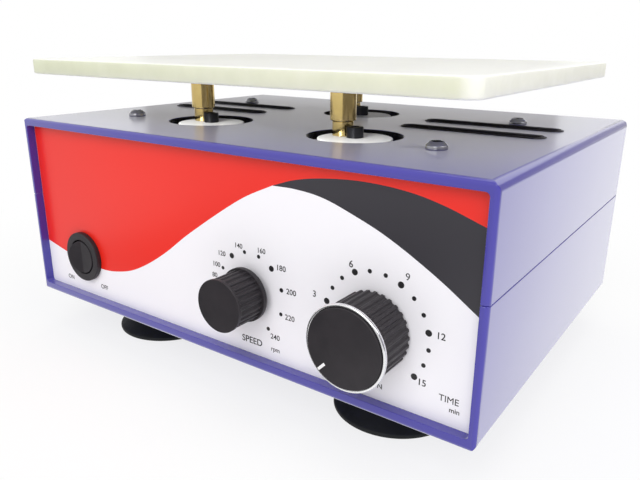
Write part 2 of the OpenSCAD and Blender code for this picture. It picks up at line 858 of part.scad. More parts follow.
module crank_pin(angle) {
  at_case() color(steel_grey) at_xy([crank_at(angle) + pin_offset])
    post(pin_d, pin_floor, bush_bore_top - end_clear);
}

module thrust_collar(angle) {
  at_case() color(brass_gold) at_xy([crank_at(angle) + pin_offset])
    tube(collar_d, pin_d + 2 * seat_clear, disc_top, collar_top);
}

module crank_screw(angle) {
  at_case() color(dark_steel) at_xy([crank_at(angle)]) difference() {
    union() {
      post(centre_head_d, disc_top, disc_top + centre_head_h);
      post(centre_screw_d, spindle_top - centre_screw_l, disc_top + join);
    }
    translate([0, 0, disc_top + centre_head_h / 2])
      cylinder(d = centre_socket / cos(30), h = centre_head_h, $fn = 6);
  }
}

// Platform
module platform() {
  seat_top = platform_z + spigot_seat;
  middle = pin_offset + [platform_right, -platform_ahead];
  at_case() color(platform_cream) difference() {
    translate([middle[0], middle[1] - platform_d / 2, platform_z])
      linear_extrude(platform_t) rounded_rect(platform_w, platform_d, platform_r);
    at_xy(pin_points) post(spigot_d + 2 * seat_clear, platform_z - over, seat_top);
  }
}

module platform_bush(angle) {
  at_case() color(brass_gold) at_xy([crank_at(angle) + pin_offset]) difference() {
    union() {
      post(bush_d, bush_bottom, platform_z);
      post(spigot_d, platform_z - join, platform_z + spigot_seat);
    }
    post(pin_d + 2 * run_clear, bush_bottom - over, bush_bore_top);
  }
}

// Switch
module power_switch() {
  cavity_d = barrel_d - 2 * barrel_wall;
  cavity_back = rocker_axis_y + rocker_r + end_clear;
  barrel_back = panel_back + barrel_l;
  tab = [6.3, 8, 0.8];
  tab_x = 5;
  pocket_end = barrel_d / 2 - barrel_wall / 3;
  at_case() color(plastic_black) translate([-switch_left, 0, foot_h + switch_z]) {
    difference() {
      union() {
        rod_y(bezel_d, panel_y - bezel_t, panel_y);
        rod_y(barrel_d, panel_y - join, barrel_back);
        for (sx = [-1, 1]) {
          translate([sx * tab_x, barrel_back, 0]) cube(tab, center = true);
        }
      }
      rod_y(cavity_d, panel_y - bezel_t - over, cavity_back);
      translate([0, rocker_axis_y, 0]) {
        post(trunnion_d + 2 * run_clear, -pocket_end, pocket_end);
      }
    }
  }
}

module switch_rocker() {
  reach = barrel_d / 2 - barrel_wall / 2;
  back = 2.5;
  at_case() color(plastic_black)
    translate([-switch_left, rocker_axis_y, foot_h + switch_z]) rotate(rocker_tilt) {
      difference() {
        sphere(rocker_r);
        for (s = [-1, 1]) {
          translate([0, -rocker_face, 0]) rotate(s * rocker_tilt)
            translate([s < 0 ? 0 : -2 * rocker_r, -2 * rocker_r, -rocker_r])
              cube([2 * rocker_r, 2 * rocker_r, 2 * rocker_r]);
        }
        translate([-rocker_r, back, -rocker_r]) cube(2 * rocker_r);
      }
      post(trunnion_d, -reach, reach);
    }
}

// Controls
module control_shaft(x, back) {
  at_case() color(steel_grey) translate([x, 0, knob_height]) rod_y(shaft_d, shaft_end_y, back);
}

module pot_shaft() {
  control_shaft(speed_x, panel_back + pot_l / 2);
}

module timer_shaft() {
  control_shaft(timer_x, panel_back + timer_body_l / 2);
}

// Threaded bush of a control, bored for its shaft
module bushed_body(bush_d_out, body_l) {
  difference() {
    union() {
      rod_y(bush_d_out, panel_y - bush_out, panel_back + join);
      children();
    }
    rod_y(shaft_d + 2 * run_clear, panel_y - bush_out - over, panel_back + body_l / 2 + end_clear);
  }
}

module speed_pot() {
  lug = [3, 1, 8];
  at_case() color(steel_grey) translate([speed_x, 0, knob_height])
    bushed_body(pot_bush_d, pot_l) {
      rod_y(pot_d, panel_back, panel_back + pot_l);
      for (x = [-5, 0, 5]) {
        translate([x, panel_back + pot_l / 2, -pot_d / 2]) cube(lug, center = true);
      }
    }
}

module timer_body() {
  at_case() color(plastic_black) translate([timer_x, 0, knob_height])
    bushed_body(timer_bush_d, timer_body_l)
      translate([-timer_body_w / 2, panel_back, -timer_body_w / 2])
        cube([timer_body_w, timer_body_l, timer_body_w]);
}

module fixing_nut(bush) {
  difference() {
    rotate([90, 0, 0]) cylinder(d = (bush + 2 * nut_wall) / cos(30), h = nut_t, $fn = 6);
    rod_y(tapped(bush), -nut_t - over, over);
  }
}

module control_nuts() {
  at_case() color(steel_grey) {
    translate([speed_x, panel_y, knob_height]) fixing_nut(pot_bush_d);
    translate([timer_x, panel_y, knob_height]) fixing_nut(timer_bush_d);
  }
}

// Outline of a fluted knob: each flute is a flat-bottomed notch
function fluted_points(r, flutes) = [
  for (i = [0:flutes - 1], edge = [[0.06, 0], [0.44, 0], [0.56, 1], [0.94, 1]])
    let (a = 360 * (i + edge[0]) / flutes) (r - edge[1] * flute_depth) * [cos(a), sin(a)]
];

// Hollow behind a knob and the bore for its shaft
module knob_bores(bush, back_y) {
  rod_y((bush + 2 * nut_wall) / cos(30) + 2 * end_clear, hollow_y, back_y + over);
  rod_y(shaft_d + 2 * seat_clear, shaft_end_y, back_y + over);
}

module speed_knob() {
  rim_t = 1.5;
  foot_t = 2;
  face_y = speed_y - speed_knob_h;
  at_case() color(plastic_black) translate([speed_x, 0, knob_height]) difference() {
    union() {
      along_y(face_y + rim_t - join, speed_y - foot_t + join)
        polygon(fluted_points(speed_knob_d / 2, speed_flutes));
      rod_y(speed_knob_d + 2 * speed_rim_out, face_y, face_y + rim_t);
      rod_y(speed_knob_d + 2 * speed_foot_out, speed_y - foot_t, speed_y);
    }
    knob_bores(pot_bush_d, speed_y);
  }
}

ring_d = timer_knob_d + 2 * ring_out;
timer_face_d = ring_d - 2 * ring_w;
timer_face_y = timer_y - timer_knob_h;
ring_y = timer_face_y + face_out;

module timer_knob() {
  at_case() color(plastic_black) translate([timer_x, 0, knob_height]) difference() {
    union() {
      along_y(ring_y + ring_t, timer_y) polygon(fluted_points(timer_knob_d / 2, timer_flutes));
      rod_y(timer_face_d, timer_face_y, ring_y + ring_t + join);
    }
    knob_bores(timer_bush_d, timer_y);
  }
}

module timer_knob_ring() {
  at_case() color(steel_grey) translate([timer_x, 0, knob_height]) difference() {
    rod_y(ring_d, ring_y, ring_y + ring_t);
    rod_y(timer_face_d + 2 * seat_clear, ring_y - over, ring_y + ring_t + over);
  }
}

// Electrics
board_edge = 5;
standoff_d = 6;
standoff_points = mirrored_xy(board_w / 2 - board_edge, board_d / 2 - board_edge);

module board_standoffs() {
  at_case() color(brass_gold) translate([board_x, 0, 0]) at_xy(standoff_points)
    post(standoff_d, floor_z, floor_z + standoff_h);
}

// Board with a heat sink along its front, a relay, a terminal block and two capacitors
module control_board() {
  board_z = floor_z + standoff_h;
  parts_z = board_z + board_t - join;
  sink = [board_w * 0.52, board_d * 0.12, 12];
  relay = [board_w * 0.18, board_d * 0.26, 9];
  block = [board_w * 0.12, board_d * 0.36, 10];
  can_d = board_w * 0.13;
  can_h = 15;
  at_case() color(board_green) translate([board_x, 0, 0]) {
    translate([-board_w / 2, -board_d / 2, board_z]) cube([board_w, board_d, board_t]);
    translate([-sink[0] / 2, -board_d * 0.36, parts_z]) cube(sink);
    translate([board_w * 0.14, -board_d * 0.16, parts_z]) cube(relay);
    translate([-board_w * 0.36, -board_d * 0.06, parts_z]) cube(block);
    for (x = [-board_w * 0.16, 0]) {
      translate([x, board_d * 0.14, 0]) post(can_d, parts_z, parts_z + can_h);
    }
  }
}

module transformer() {
  trafo_y = 14;
  coil_out = 6;
  coil_w = trafo_w * 0.62;
  foot_t = 2;
  at_case() color(steel_grey) translate([trafo_x, trafo_y, floor_z]) {
    translate([-trafo_w / 2, -trafo_d / 2, 0]) cube([trafo_w, trafo_d, trafo_h]);
    translate([-coil_w / 2, -trafo_d / 2 - coil_out, trafo_h * 0.16])
      cube([coil_w, trafo_d + 2 * coil_out, trafo_h * 0.68]);
    translate([-trafo_w / 2 - trafo_foot, -trafo_d / 4, 0])
      cube([trafo_w + 2 * trafo_foot, trafo_d / 2, foot_t]);
  }
}

module mains_inlet() {
  body_w = socket_w + 2 * inlet_wall;
  body_h = socket_h + 2 * inlet_wall;
  body_back = -panel_y - socket_depth - inlet_wall;
  face_y = -panel_y + inlet_flange_t;
  socket_back = face_y - socket_depth;
  blade_w = 2;
  blade_h = 4;
  blade_z = 2.2;
  blade_pitch = 7;
  corner = 4.5;
  at_case() color(plastic_black) translate([-inlet_left, 0, foot_h + inlet_z]) {
    difference() {
      union() {
        along_y(-panel_y, face_y) translate([0, -inlet_h / 2]) rounded_rect(inlet_w, inlet_h, 2);
        translate([-body_w / 2, body_back, -body_h / 2])
          cube([body_w, -panel_y + join - body_back, body_h]);
      }
      along_y(socket_back, face_y + over) polygon([
        [-socket_w / 2, -socket_h / 2], [socket_w / 2, -socket_h / 2],
        [socket_w / 2, socket_h / 2 - corner], [socket_w / 2 - corner, socket_h / 2],
        [corner - socket_w / 2, socket_h / 2], [-socket_w / 2, socket_h / 2 - corner]
      ]);
    }
    for (blade = [[-blade_pitch, -blade_z], [0, blade_z], [blade_pitch, -blade_z]]) {
      translate([blade[0] - blade_w / 2, socket_back - join, blade[1] - blade_h / 2])
        cube([blade_w, blade_l + join, blade_h]);
    }
  }
}

module fuse_holder() {
  flange_d_out = fuse_cap_d + 3;
  flange_l = 2;
  slot = [fuse_cap_d, 2, 1.6];
  at_case() color(plastic_black) translate([-fuse_left, 0, foot_h + inlet_z]) difference() {
    union() {
      rod_y(fuse_d, -panel_back - fuse_l, -panel_y + join);
      rod_y(flange_d_out, -panel_y, -panel_y + flange_l);
      rod_y(fuse_cap_d, -panel_y, -panel_y + fuse_cap_h);
    }
    translate([0, -panel_y + fuse_cap_h, 0]) cube(slot, center = true);
  }
}

top_shell();
bottom_shell();
front_panel();
rear_panel();
vent_inserts();
top_screws();
case_screws();
foot(-1, -1);  // foot_front_left
foot(1, -1);  // foot_front_right
foot(-1, 1);  // foot_rear_left
foot(1, 1);  // foot_rear_right
foot_screws();
mechanism_plate();
plate_spacers();
bearing_housing(left_angle);  // bearing_housing_left
bearing_housing(right_angle);  // bearing_housing_right
bearing_housing(rear_angle);  // bearing_housing_rear
ball_bearings();
housing_screws();
gear_motor();
motor_screws();
motor_shaft();
motor_pulley();
drive_belt();
driven_pulley();
spindle(left_angle);  // spindle_left
spindle(right_angle);  // spindle_right
spindle(rear_angle);  // spindle_rear
crank_disc(left_angle);  // crank_disc_left
crank_disc(right_angle);  // crank_disc_right
crank_disc(rear_angle);  // crank_disc_rear
crank_pin(left_angle);  // crank_pin_left
crank_pin(right_angle);  // crank_pin_right
crank_pin(rear_angle);  // crank_pin_rear
thrust_collar(left_angle);  // thrust_collar_left
thrust_collar(right_angle);  // thrust_collar_right
thrust_collar(rear_angle);  // thrust_collar_rear
crank_screw(left_angle);  // crank_screw_left
crank_screw(right_angle);  // crank_screw_right
crank_screw(rear_angle);  // crank_screw_rear
platform();
platform_bush(left_angle);  // platform_bush_left
platform_bush(right_angle);  // platform_bush_right
platform_bush(rear_angle);  // platform_bush_rear
power_switch();
switch_rocker();
speed_pot();
pot_shaft();
speed_knob();
timer_body();
timer_shaft();
timer_knob();
timer_knob_ring();
control_nuts();
control_board();
board_standoffs();
transformer();
mains_inlet();
fuse_holder();
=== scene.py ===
"""Looks of the orbital platform shaker: finishes, printed panel graphics, studio and camera."""

import json
import math

import bmesh
import bpy
from mathutils import Matrix, Vector


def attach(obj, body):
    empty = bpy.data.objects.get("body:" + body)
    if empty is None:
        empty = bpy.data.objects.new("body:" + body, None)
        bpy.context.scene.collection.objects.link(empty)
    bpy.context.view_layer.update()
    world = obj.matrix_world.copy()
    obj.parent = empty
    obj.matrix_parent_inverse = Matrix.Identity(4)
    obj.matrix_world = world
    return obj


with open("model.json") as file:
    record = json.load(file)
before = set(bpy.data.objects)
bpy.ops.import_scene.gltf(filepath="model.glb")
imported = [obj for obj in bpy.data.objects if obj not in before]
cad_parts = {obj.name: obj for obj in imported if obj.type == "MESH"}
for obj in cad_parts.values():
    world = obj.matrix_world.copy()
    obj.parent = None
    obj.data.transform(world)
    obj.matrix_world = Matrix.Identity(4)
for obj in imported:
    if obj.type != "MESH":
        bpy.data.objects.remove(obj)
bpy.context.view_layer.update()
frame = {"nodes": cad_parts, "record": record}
nodes = frame["nodes"]
MM = 0.001

# Places on the front and rear panels, in millimetres of the row frame. An axis is given as x and z.
BENCH_TO_CASE = 20.0
PANEL_FACE = -79.75
REAR_FACE = 90.25
WINDOW_SIDE = 117.15
WINDOW_TOP = 105.75
WINDOW_CORNER = 1.5
FILM = 0.05
TIMER_AXIS = (79.0, 51.4)
TIMER_FACE = -99.25
SWITCH_AXIS = (-86.0, 43.8)
SWITCH_HOLE = 11.0

# The three cranks and the four feet, as their nodes' names end.
CRANKS = ("left", "right", "rear")
FEET = ("front_left", "front_right", "rear_left", "rear_right")


def linear(red, green, blue):
    """Shader colour of an sRGB colour given from 0 to 255."""

    def channel(value):
        value /= 255
        return value / 12.92 if value <= 0.04045 else ((value + 0.055) / 1.055) ** 2.4

    return (channel(red), channel(green), channel(blue), 1.0)


def add_node(tree, kind, **settings):
    node = tree.nodes.new(kind)
    for key, value in settings.items():
        setattr(node, key, value)
    return node


def blank_material(name):
    """A new material with only an output node, and that node's surface socket."""
    material = bpy.data.materials.new(name)
    material.use_nodes = True
    material.node_tree.nodes.clear()
    output = add_node(material.node_tree, "ShaderNodeOutputMaterial")
    return material, output.inputs["Surface"]


# The middle part of a noise texture's range, where nearly all its values lie.
NOISE_RANGE = (0.15, 0.85)


class Finish:
    """A procedural material: one Principled shader fed by textures placed in the row frame."""

    def __init__(self, name, sockets):
        self.name = name
        self.material, surface = blank_material(name)
        self.tree = self.material.node_tree
        self.shader = self.add("ShaderNodeBsdfPrincipled")
        self.link(self.shader.outputs["BSDF"], surface)
        place = self.add("ShaderNodeTexCoord")
        self.place = place.outputs["Object"]
        self.normal = place.outputs["Normal"]
        for socket, value in sockets.items():
            self.shader.inputs[socket].default_value = value

    def add(self, kind, **settings):
        return add_node(self.tree, kind, **settings)

    def link(self, source, target):
        self.tree.links.new(source, target)

    def split(self, vector):
        """The X, Y and Z of a vector, by name."""
        node = self.add("ShaderNodeSeparateXYZ")
        self.link(vector, node.inputs["Vector"])
        return node.outputs

    def size(self, value):
        node = self.add("ShaderNodeMath", operation="ABSOLUTE")
        self.link(value, node.inputs[0])
        return node.outputs[0]

    def times(self, first, second):
        node = self.add("ShaderNodeMath", operation="MULTIPLY")
        self.link(first, node.inputs[0])
        self.link(second, node.inputs[1])
        return node.outputs[0]

    def noise(self, scale, detail, stretch=None):
        node = self.add("ShaderNodeTexNoise")
        node.inputs["Scale"].default_value = scale
        node.inputs["Detail"].default_value = detail
        place = self.place
        if stretch:
            mapping = self.add("ShaderNodeMapping")
            mapping.inputs["Scale"].default_value = stretch
            self.link(place, mapping.inputs["Vector"])
            place = mapping.outputs["Vector"]
        self.link(place, node.inputs["Vector"])
        return node.outputs["Fac"]

    def span(self, factor, low, high, limits=NOISE_RANGE):
        """A smooth step from low to high while the factor goes through its limits."""
        node = self.add("ShaderNodeMapRange", interpolation_type="SMOOTHSTEP")
        node.inputs["From Min"].default_value = limits[0]
        node.inputs["From Max"].default_value = limits[1]
        node.inputs["To Min"].default_value = low
        node.inputs["To Max"].default_value = high
        self.link(factor, node.inputs["Value"])
        return node.outputs["Result"]

    def mix(self, factor, first, second):
        """A mix of two colours, each a constant or another node's socket."""
        node = self.add("ShaderNodeMix", data_type="RGBA")
        self.link(factor, node.inputs["Factor"])
        for socket, value in (("A", first), ("B", second)):
            target = [s for s in node.inputs if s.name == socket and s.type == "RGBA"][0]
            if isinstance(value, tuple):
                target.default_value = value
            else:
                self.link(value, target)
        return [s for s in node.outputs if s.type == "RGBA"][0]

    def shades(self, scale, detail, light, dark):
        """Patches of two close shades."""
        return self.mix(self.span(self.noise(scale, detail), 0, 1), light, dark)

    def paint(self, colour):
        self.link(colour, self.shader.inputs["Base Color"])

    def rough(self, limits, scale, stretch=None):
        grain = self.span(self.noise(scale, 3.0, stretch), *limits)
        self.link(grain, self.shader.inputs["Roughness"])

    def bump(self, height, depth):
        """A relief of the given depth in millimetres."""
        node = self.add("ShaderNodeBump")
        node.inputs["Strength"].default_value = 1.0
        node.inputs["Distance"].default_value = depth * MM
        self.link(height, node.inputs["Height"])
        self.link(node.outputs["Normal"], self.shader.inputs["Normal"])


# Light and dark sRGB shade.
FILMS = {
    "front_film": ((248, 246, 250), (244, 242, 247)),
    "red_film": ((240, 44, 30), (233, 38, 27)),
    "dark_film": ((56, 54, 60), (50, 48, 54)),
}


def film(name, light, dark):
    """A printed polyester film: even colour, satin gloss and a slight waviness."""
    finish = Finish(name, {"Specular IOR Level": 0.4})
    finish.paint(finish.shades(9.0, 1.0, linear(*light), linear(*dark)))
    finish.rough((0.27, 0.33), 14.0)
    finish.bump(finish.noise(12.0, 0.0), 0.03)
    return finish


# Light and dark sRGB shade, scale of the patches, range of roughness, scale of the grain,
# depth of the grain, and constant values of the shader's own sockets.
MOULDED = {
    "print_ink": ((24, 21, 26), (18, 16, 20), 300.0, (0.35, 0.5), 2500.0, 0.004, {"IOR": 1.5}),
    "pointer_ink": ((244, 243, 244), (232, 231, 232), 400.0, (0.35, 0.5), 2500.0, 0.004, {"IOR": 1.5}),
    "rear_film": ((222, 222, 224), (214, 214, 217), 20.0, (0.42, 0.55), 1200.0, 0.012, {"IOR": 1.48}),
    "black_plastic": (
        (46, 42, 46), (37, 34, 38), 120.0, (0.38, 0.5), 900.0, 0.02, {"Specular IOR Level": 0.3},
    ),
    "black_rubber": (
        (26, 28, 30), (18, 20, 22), 160.0, (0.55, 0.72), 900.0, 0.03, {"Specular IOR Level": 0.25},
    ),
    "white_acetal": ((246, 246, 242), (238, 238, 233), 60.0, (0.3, 0.42), 1500.0, 0.01, {"IOR": 1.48}),
    "board_laminate": ((34, 104, 62), (24, 84, 48), 90.0, (0.3, 0.45), 900.0, 0.02, {"IOR": 1.55}),
}


def moulded(name, light, dark, patch, rough, grain, depth, sockets):
    """A moulded or printed surface: two close shades, uneven gloss and a fine grain."""
    finish = Finish(name, sockets)
    finish.paint(finish.shades(patch, 3.0, linear(*light), linear(*dark)))
    finish.rough(rough, patch * 2.3)
    finish.bump(finish.noise(grain, 2.0), depth)
    return finish


# Light and dark metal colour, range of roughness, pitch and depth of the lathe's rings in millimetres.
TURNED = {
    "turned_brass": ((0.7, 0.54, 0.22, 1.0), (0.54, 0.4, 0.15, 1.0), (0.1, 0.18), 0.35, 0.006),
    "bright_steel": ((0.68, 0.69, 0.71, 1.0), (0.55, 0.56, 0.58, 1.0), (0.18, 0.32), 0.3, 0.012),
    "black_steel": ((0.05, 0.05, 0.055, 1.0), (0.03, 0.03, 0.033, 1.0), (0.3, 0.45), 0.4, 0.012),
    "screw_steel": ((0.56, 0.56, 0.58, 1.0), (0.34, 0.34, 0.36, 1.0), (0.1, 0.2), 0.3, 0.012),
    "bright_ring": ((0.9, 0.9, 0.91, 1.0), (0.82, 0.82, 0.84, 1.0), (0.14, 0.24), 0.5, 0.004),
    "alloy": ((0.7, 0.71, 0.73, 1.0), (0.58, 0.59, 0.61, 1.0), (0.28, 0.42), 0.6, 0.02),
}


def turned(name, light, dark, rough, pitch, depth):
    """A lathe-turned metal: fine rings along Z over a slow change of shade."""
    finish = Finish(name, {"Metallic": 1.0})
    finish.paint(finish.shades(90.0, 3.0, light, dark))
    finish.rough(rough, 1.0, stretch=(90.0, 90.0, 700.0 / pitch))
    finish.bump(finish.noise(1.0, 3.0, stretch=(60.0, 60.0, 1000.0 / pitch)), depth)
    return finish


# The part of the case where the walls of its holes and slots get painted shade: how far from the middle
# and how high it reaches, in metres, and how little its surface faces up. Each is the range over which
# the painted shade fades.
PAINTED_SHADE_ACROSS = (0.1105, 0.111)
PAINTED_SHADE_DEEP = (0.0745, 0.075)
PAINTED_SHADE_ABOVE = (0.1, 0.1005)
PAINTED_SHADE_FACING = (0.3, 0.6)
PAINTED_SHADE_COLOUR = linear(20, 19, 22)


def case_finish():
    """Glossy violet-blue moulding, with painted shade darkening the walls of its holes and slots."""
    finish = Finish(
        "case_plastic",
        {
            "IOR": 1.36,
            "Coat Weight": 1.0,
            "Coat Roughness": 0.18,
            "Coat IOR": 1.45,
            "Sheen Weight": 0.9,
            "Sheen Roughness": 0.3,
        },
    )
    body = finish.shades(14.0, 3.0, linear(64, 57, 158), linear(58, 51, 151))
    place = finish.split(finish.place)
    facing = finish.split(finish.normal)["Z"]
    # Painted shade: the walls of the holes and slots in the top are darkened to near black, though the
    # moulding is violet there too.
    painted_shade = finish.span(finish.size(place["X"]), 1, 0, PAINTED_SHADE_ACROSS)
    painted_shade = finish.times(painted_shade, finish.span(finish.size(place["Y"]), 1, 0, PAINTED_SHADE_DEEP))
    painted_shade = finish.times(painted_shade, finish.span(place["Z"], 0, 1, PAINTED_SHADE_ABOVE))
    painted_shade = finish.times(painted_shade, finish.span(finish.size(facing), 1, 0, PAINTED_SHADE_FACING))
    finish.paint(finish.mix(painted_shade, body, PAINTED_SHADE_COLOUR))
    finish.rough((0.12, 0.19), 30.0)
    finish.bump(finish.noise(30.0, 1.0), 0.03)
    return finish


# Brushing of the sheet metal: long along X, fine across.
BRUSHED = (40.0, 900.0, 900.0)


def plate_finish():
    """Satin sheet metal, brushed along X."""
    finish = Finish("plate_metal", {"Metallic": 1.0})
    lines = finish.noise(1.0, 4.0, stretch=BRUSHED)
    finish.paint(finish.mix(finish.span(lines, 0, 1), (0.62, 0.63, 0.65, 1.0), (0.48, 0.49, 0.51, 1.0)))
    finish.rough((0.28, 0.42), 1.0, stretch=BRUSHED)
    finish.bump(lines, 0.004)
    return finish


# Where the platform's edge goes from green to cream and from cream to pale, in metres along X, and how
# far a surface faces up or down where the edge ends. The darker green at the left is painted shade, and
# the pale right end is painted light.
EDGE_PAINTED_SHADE = (-0.12, 0.05)
EDGE_PAINTED_LIGHT = (0.101, 0.107)
EDGE_FACING = (0.35, 0.8)


def platform_finish():
    """Cream sheet: whiter on its satin faces, with more of its green depth in the sawn edge, and painted
    shade on that edge's left part and painted light on its right end.
    """
    finish = Finish(
        "platform_plastic",
        {
            "IOR": 1.49,
            "Subsurface Weight": 0.6,
            "Subsurface Radius": (1.0, 1.0, 0.85),
            "Subsurface Scale": 0.008,
        },
    )
    face = finish.shades(12.0, 3.0, linear(247, 247, 240), linear(242, 243, 234))
    sawn = finish.span(finish.noise(120.0, 3.0), 0, 1)
    green = finish.mix(sawn, linear(216, 219, 196), linear(208, 211, 187))
    cream = finish.mix(sawn, linear(223, 224, 206), linear(215, 217, 197))
    pale = finish.mix(sawn, linear(234, 234, 224), linear(227, 227, 216))
    across = finish.split(finish.place)["X"]
    # Painted shade makes the edge darker and greener towards the left, and painted light makes its right
    # end paler.
    edge = finish.mix(finish.span(across, 0, 1, EDGE_PAINTED_SHADE), green, cream)
    edge = finish.mix(finish.span(across, 0, 1, EDGE_PAINTED_LIGHT), edge, pale)
    facing = finish.size(finish.split(finish.normal)["Z"])
    finish.paint(finish.mix(finish.span(facing, 0, 1, EDGE_FACING), edge, face))
    finish.rough((0.32, 0.44), 40.0)
    finish.bump(finish.noise(60.0, 2.0), 0.02)
    return finish


def make_finishes():
    """All finishes by name. The names of the record's material slots are among them."""
    made = [case_finish()]
    made += [film(name, *row) for name, row in FILMS.items()]
    made += [moulded(name, *row) for name, row in MOULDED.items()]
    made += [turned(name, *row) for name, row in TURNED.items()]
    made += [plate_finish(), platform_finish()]
    return {finish.name: finish.material for finish in made}


FINISHES = make_finishes()


def dress(item, finish):
    item.data.materials.clear()
    item.data.materials.append(FINISHES[finish])


# Corners closer than this, in metres, become one. Faces that meet at less than the flat angle are
# joined, and edges sharper than the round angle are rounded.
WELD_REACH = 1e-6
FLAT_ANGLE = math.radians(0.5)
ROUND_ANGLE = math.radians(32.0)
ROUND_SEGMENTS = 2

# Width of the rounded edges, in millimetres.
ROUNDED = {
    "top_shell": 0.2,
    "bottom_shell": 0.2,
    "vent_inserts": 0.3,
    "platform": 0.8,
    "timer_knob": 0.2,
    "timer_knob_ring": 0.5,
    "speed_knob": 0.2,
    "power_switch": 0.4,
    "switch_rocker": 0.12,
    "mains_inlet": 0.2,
    "fuse_holder": 0.4,
    "top_screws": 0.25,
    **{f"crank_disc_{crank}": 0.4 for crank in CRANKS},
    **{f"thrust_collar_{crank}": 0.3 for crank in CRANKS},
    **{f"platform_bush_{crank}": 0.3 for crank in CRANKS},
    **{f"crank_screw_{crank}": 0.25 for crank in CRANKS},
    **{f"foot_{foot}": 0.5 for foot in FEET},
}


def soften(item, width):
    """Rounds a CAD node's sharp edges by width millimetres and evens its shading."""
    weld = item.modifiers.new("weld", "WELD")
    weld.merge_threshold = WELD_REACH
    flat = item.modifiers.new("flat", "DECIMATE")
    flat.decimate_type = "DISSOLVE"
    flat.angle_limit = FLAT_ANGLE
    bevel = item.modifiers.new("edges", "BEVEL")
    bevel.width = width * MM
    bevel.segments = ROUND_SEGMENTS
    bevel.limit_method = "ANGLE"
    bevel.angle_limit = ROUND_ANGLE
    bevel.use_clamp_overlap = False
    bevel.miter_outer = "MITER_ARC"
    even = item.modifiers.new("shading", "WEIGHTED_NORMAL")
    even.mode = "FACE_AREA_WITH_ANGLE"


def dress_frame():
    """The CAD nodes' finishes and rounded edges."""
    for sub in frame["record"]["subparts"]:
        dress(nodes[sub["node"]], sub["material_slot"])
    dress(nodes["top_screws"], "screw_steel")
    for name, width in ROUNDED.items():
        soften(nodes[name], width)


def new_object(name, shape):
    """A new object in the scene, from a bmesh in metres of the row frame."""
    mesh = bpy.data.meshes.new(name)
    shape.normal_update()
    shape.to_mesh(mesh)
    shape.free()
    item = bpy.data.objects.new(name, mesh)
    bpy.context.scene.collection.objects.link(item)
    return item


def piece(name, shape, finish, body):
    """A new piece of the object, riding on a body."""
    item = new_object(name, shape)
    dress(item, finish)
    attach(item, body)


def circle(shape, x, y, z, radius, sides):
    """The corners of a circle that faces the front or the back, in millimetres."""
    turns = [2 * math.pi * i / sides for i in range(sides)]
    return [
        shape.verts.new(((x + radius * math.cos(turn)) * MM, y * MM, (z + radius * math.sin(turn)) * MM))
        for turn in turns
    ]


def join_rings(shape, rings):
    """Faces between rings of corners, each ring joined to the next."""
    for first, second in zip(rings, rings[1:]):
        for i in range(len(first)):
            j = (i + 1) % len(first)
            shape.faces.new((first[i], second[i], second[j], first[j]))


def close_rings(shape, rings):
    """A closed solid from rings of corners, with a face on the first ring and on the last."""
    shape.faces.new(rings[0])
    shape.faces.new(list(reversed(rings[-1])))
    join_rings(shape, rings)


def face_outwards(shape):
    bmesh.ops.recalc_face_normals(shape, faces=shape.faces)


def panel_curve(points):
    """A smooth curve z(x) with Catmull-Rom slopes, through points over the case's foot in order of x."""
    points = [(x, z + BENCH_TO_CASE) for x, z in points]
    slopes = []
    for i in range(len(points)):
        before = points[max(i - 1, 0)]
        after = points[min(i + 1, len(points) - 1)]
        slopes.append((after[1] - before[1]) / (after[0] - before[0]))

    def height(x):
        i = 0
        while i < len(points) - 2 and x > points[i + 1][0]:
            i += 1
        (x0, z0), (x1, z1) = points[i], points[i + 1]
        run = x1 - x0
        t = (x - x0) / run
        rise = (2 * t**3 - 3 * t**2 + 1) * z0 + (3 * t**2 - 2 * t**3) * z1
        return rise + (t**3 - 2 * t**2 + t) * run * slopes[i] + (t**3 - t**2) * run * slopes[i + 1]

    return height


# Edges of the printed fields, as x and height over the case's foot. The wave parts red from white.
# At its upper end the dark sweep starts, between the crest and the fall.
SWEEP_START = 34.5
WAVE = (
    (-117.1, 26.3),
    (-101.6, 22.9),
    (-88.0, 20.7),
    (-74.6, 19.6),
    (-64.9, 20.3),
    (-51.2, 23.8),
    (-38.5, 30.0),
    (-25.4, 38.4),
    (-12.4, 48.1),
    (7.9, 61.7),
    (21.0, 69.6),
    (SWEEP_START, 75.8),
)
CREST = (
    (SWEEP_START, 75.8),
    (44.4, 79.1),
    (56.5, 81.3),
    (72.8, 82.4),
    (89.3, 81.4),
    (101.6, 78.9),
    (116.0, 74.2),
)
FALL = (
    (SWEEP_START, 75.8),
    (45.0, 75.9),
    (56.5, 74.6),
    (68.5, 70.9),
    (83.3, 65.0),
    (101.3, 55.2),
    (116.3, 45.3),
)
# The sweep's film starts this far from its point, and a strip is never lower than the least height.
SWEEP_POINT = 0.1
STRIP_STEP = 0.75
STRIP_LEAST = 0.02


def add_strip(shape, lower, upper, start, end):
    """Adds a thin closed film to a shape, between two heights given as functions of x."""
    count = int((end - start) / STRIP_STEP) + 1
    rows = []
    for i in range(count + 1):
        x = start + (end - start) * i / count
        low, high = lower(x), max(upper(x), lower(x) + STRIP_LEAST)
        front, back = PANEL_FACE - FILM, PANEL_FACE
        corners = ((front, low), (front, high), (back, high), (back, low))
        rows.append([shape.verts.new((x * MM, y * MM, z * MM)) for y, z in corners])
    close_rings(shape, rows)


def field(name, strips, finish):
    """A printed field on the front panel, made of strips side by side."""
    shape = bmesh.new()
    for strip in strips:
        add_strip(shape, *strip)
    face_outwards(shape)
    piece(name, shape, finish, "base")


def over_switch(x):
    """The upper edge of the round hole that the film leaves for the power switch."""
    return SWITCH_AXIS[1] + math.sqrt(max(SWITCH_HOLE**2 - (x - SWITCH_AXIS[0]) ** 2, 0.0))


def window_top(x):
    """The panel window's upper edge, with its rounded corners."""
    inward = abs(x) - (WINDOW_SIDE - WINDOW_CORNER)
    if inward <= 0:
        return WINDOW_TOP
    return WINDOW_TOP - WINDOW_CORNER + math.sqrt(max(WINDOW_CORNER**2 - inward**2, 0.0))


